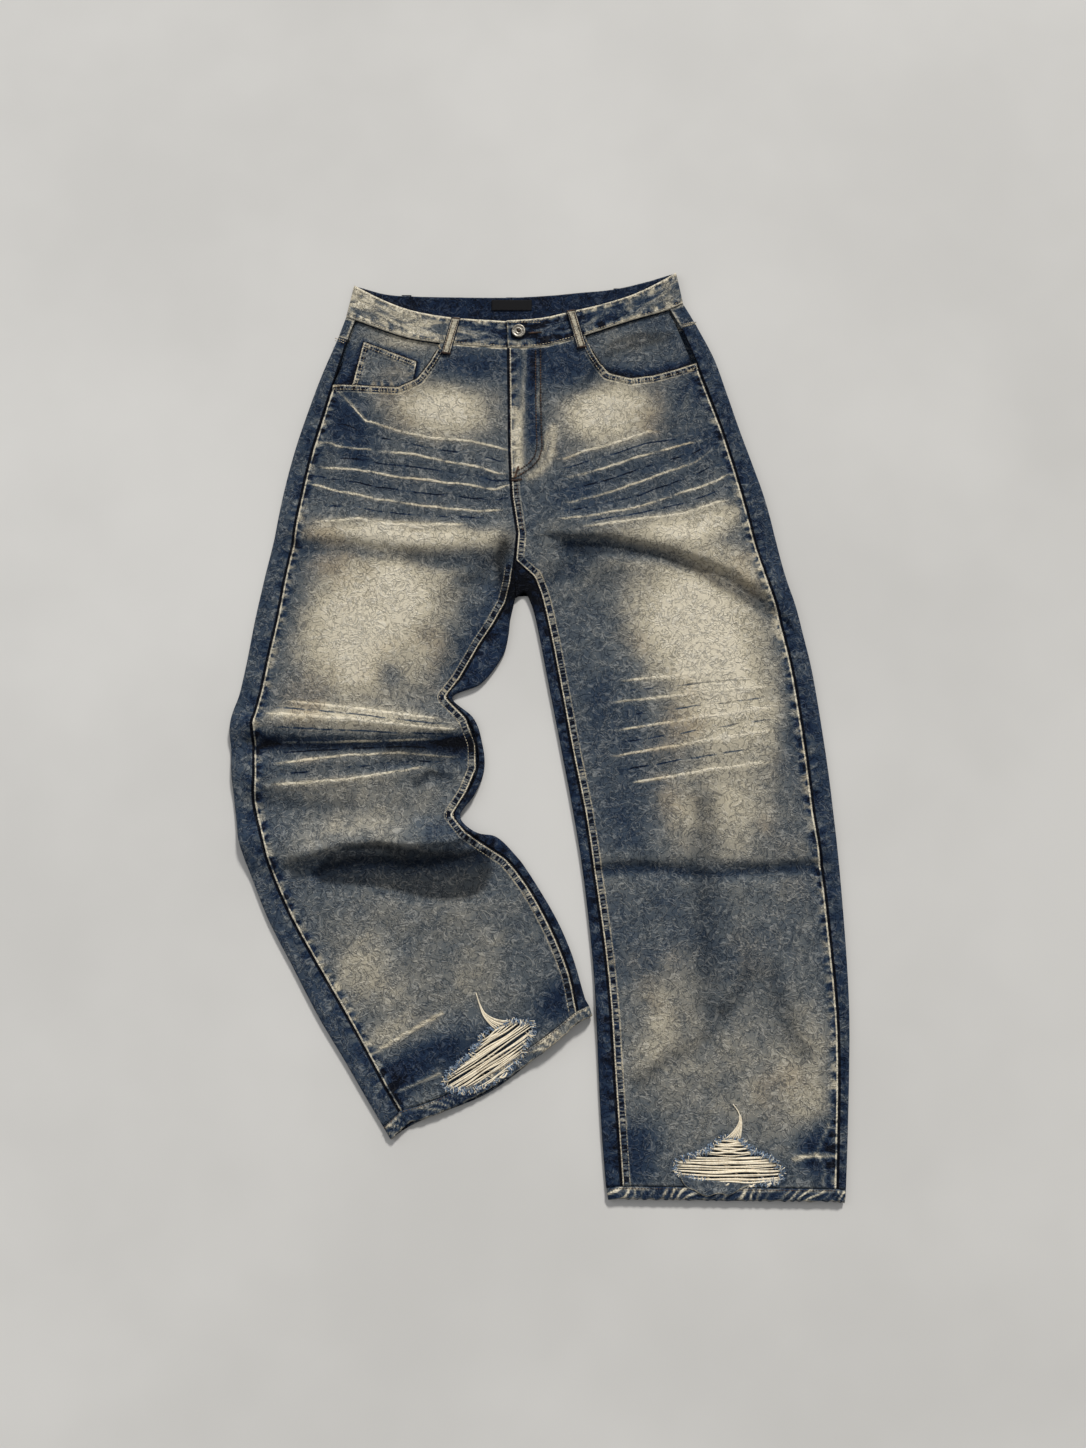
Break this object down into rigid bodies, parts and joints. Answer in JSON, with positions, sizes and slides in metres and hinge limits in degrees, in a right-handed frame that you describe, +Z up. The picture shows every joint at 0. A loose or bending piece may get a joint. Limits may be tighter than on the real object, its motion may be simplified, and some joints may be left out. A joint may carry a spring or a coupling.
{
  "type": "ripped jeans",
  "caption": "Baggy washed-denim jeans laid flat on their back, one leg bent, with frayed rips above the hems.",
  "frame": {"origin": "on the surface the jeans lie on, under the middle of their box", "axes": "+Y from the hems to the waist, +Z up from the surface; the wearer's right leg is on -X"},
  "size_m": [0.7152, 1.109, 0.0184],
  "materials": {
    "washed_denim": "stone-washed indigo twill, faded to sand on the thighs and dark blue at the edges",
    "band_denim": "two layers of indigo twill, worn pale along its edges",
    "hem_denim": "turned and stitched indigo twill, roped and worn",
    "bare_thread": "bare undyed weft threads across the rips",
    "button_steel": "brushed antique steel",
    "label_cloth": "plain black woven label"
  },
  "bodies": {
    "root": {"front_right": "washed_denim", "front_left": "washed_denim", "back_right": "washed_denim", "back_left": "washed_denim", "yoke_right": "washed_denim", "yoke_left": "washed_denim", "back_pocket_right": "washed_denim", "back_pocket_left": "washed_denim", "waistband": "band_denim", "belt_loop_front_right": "band_denim", "belt_loop_front_left": "band_denim", "belt_loop_back_right": "band_denim", "belt_loop_back_centre": "band_denim", "belt_loop_back_left": "band_denim", "button": "button_steel", "waist_label": "label_cloth", "pocket_facing_right": "washed_denim", "pocket_facing_left": "washed_denim", "coin_pocket": "washed_denim", "hem_right": "hem_denim", "hem_left": "hem_denim", "rip_threads_right": "bare_thread", "rip_threads_left": "bare_thread"}
  },
  "joints": []
}
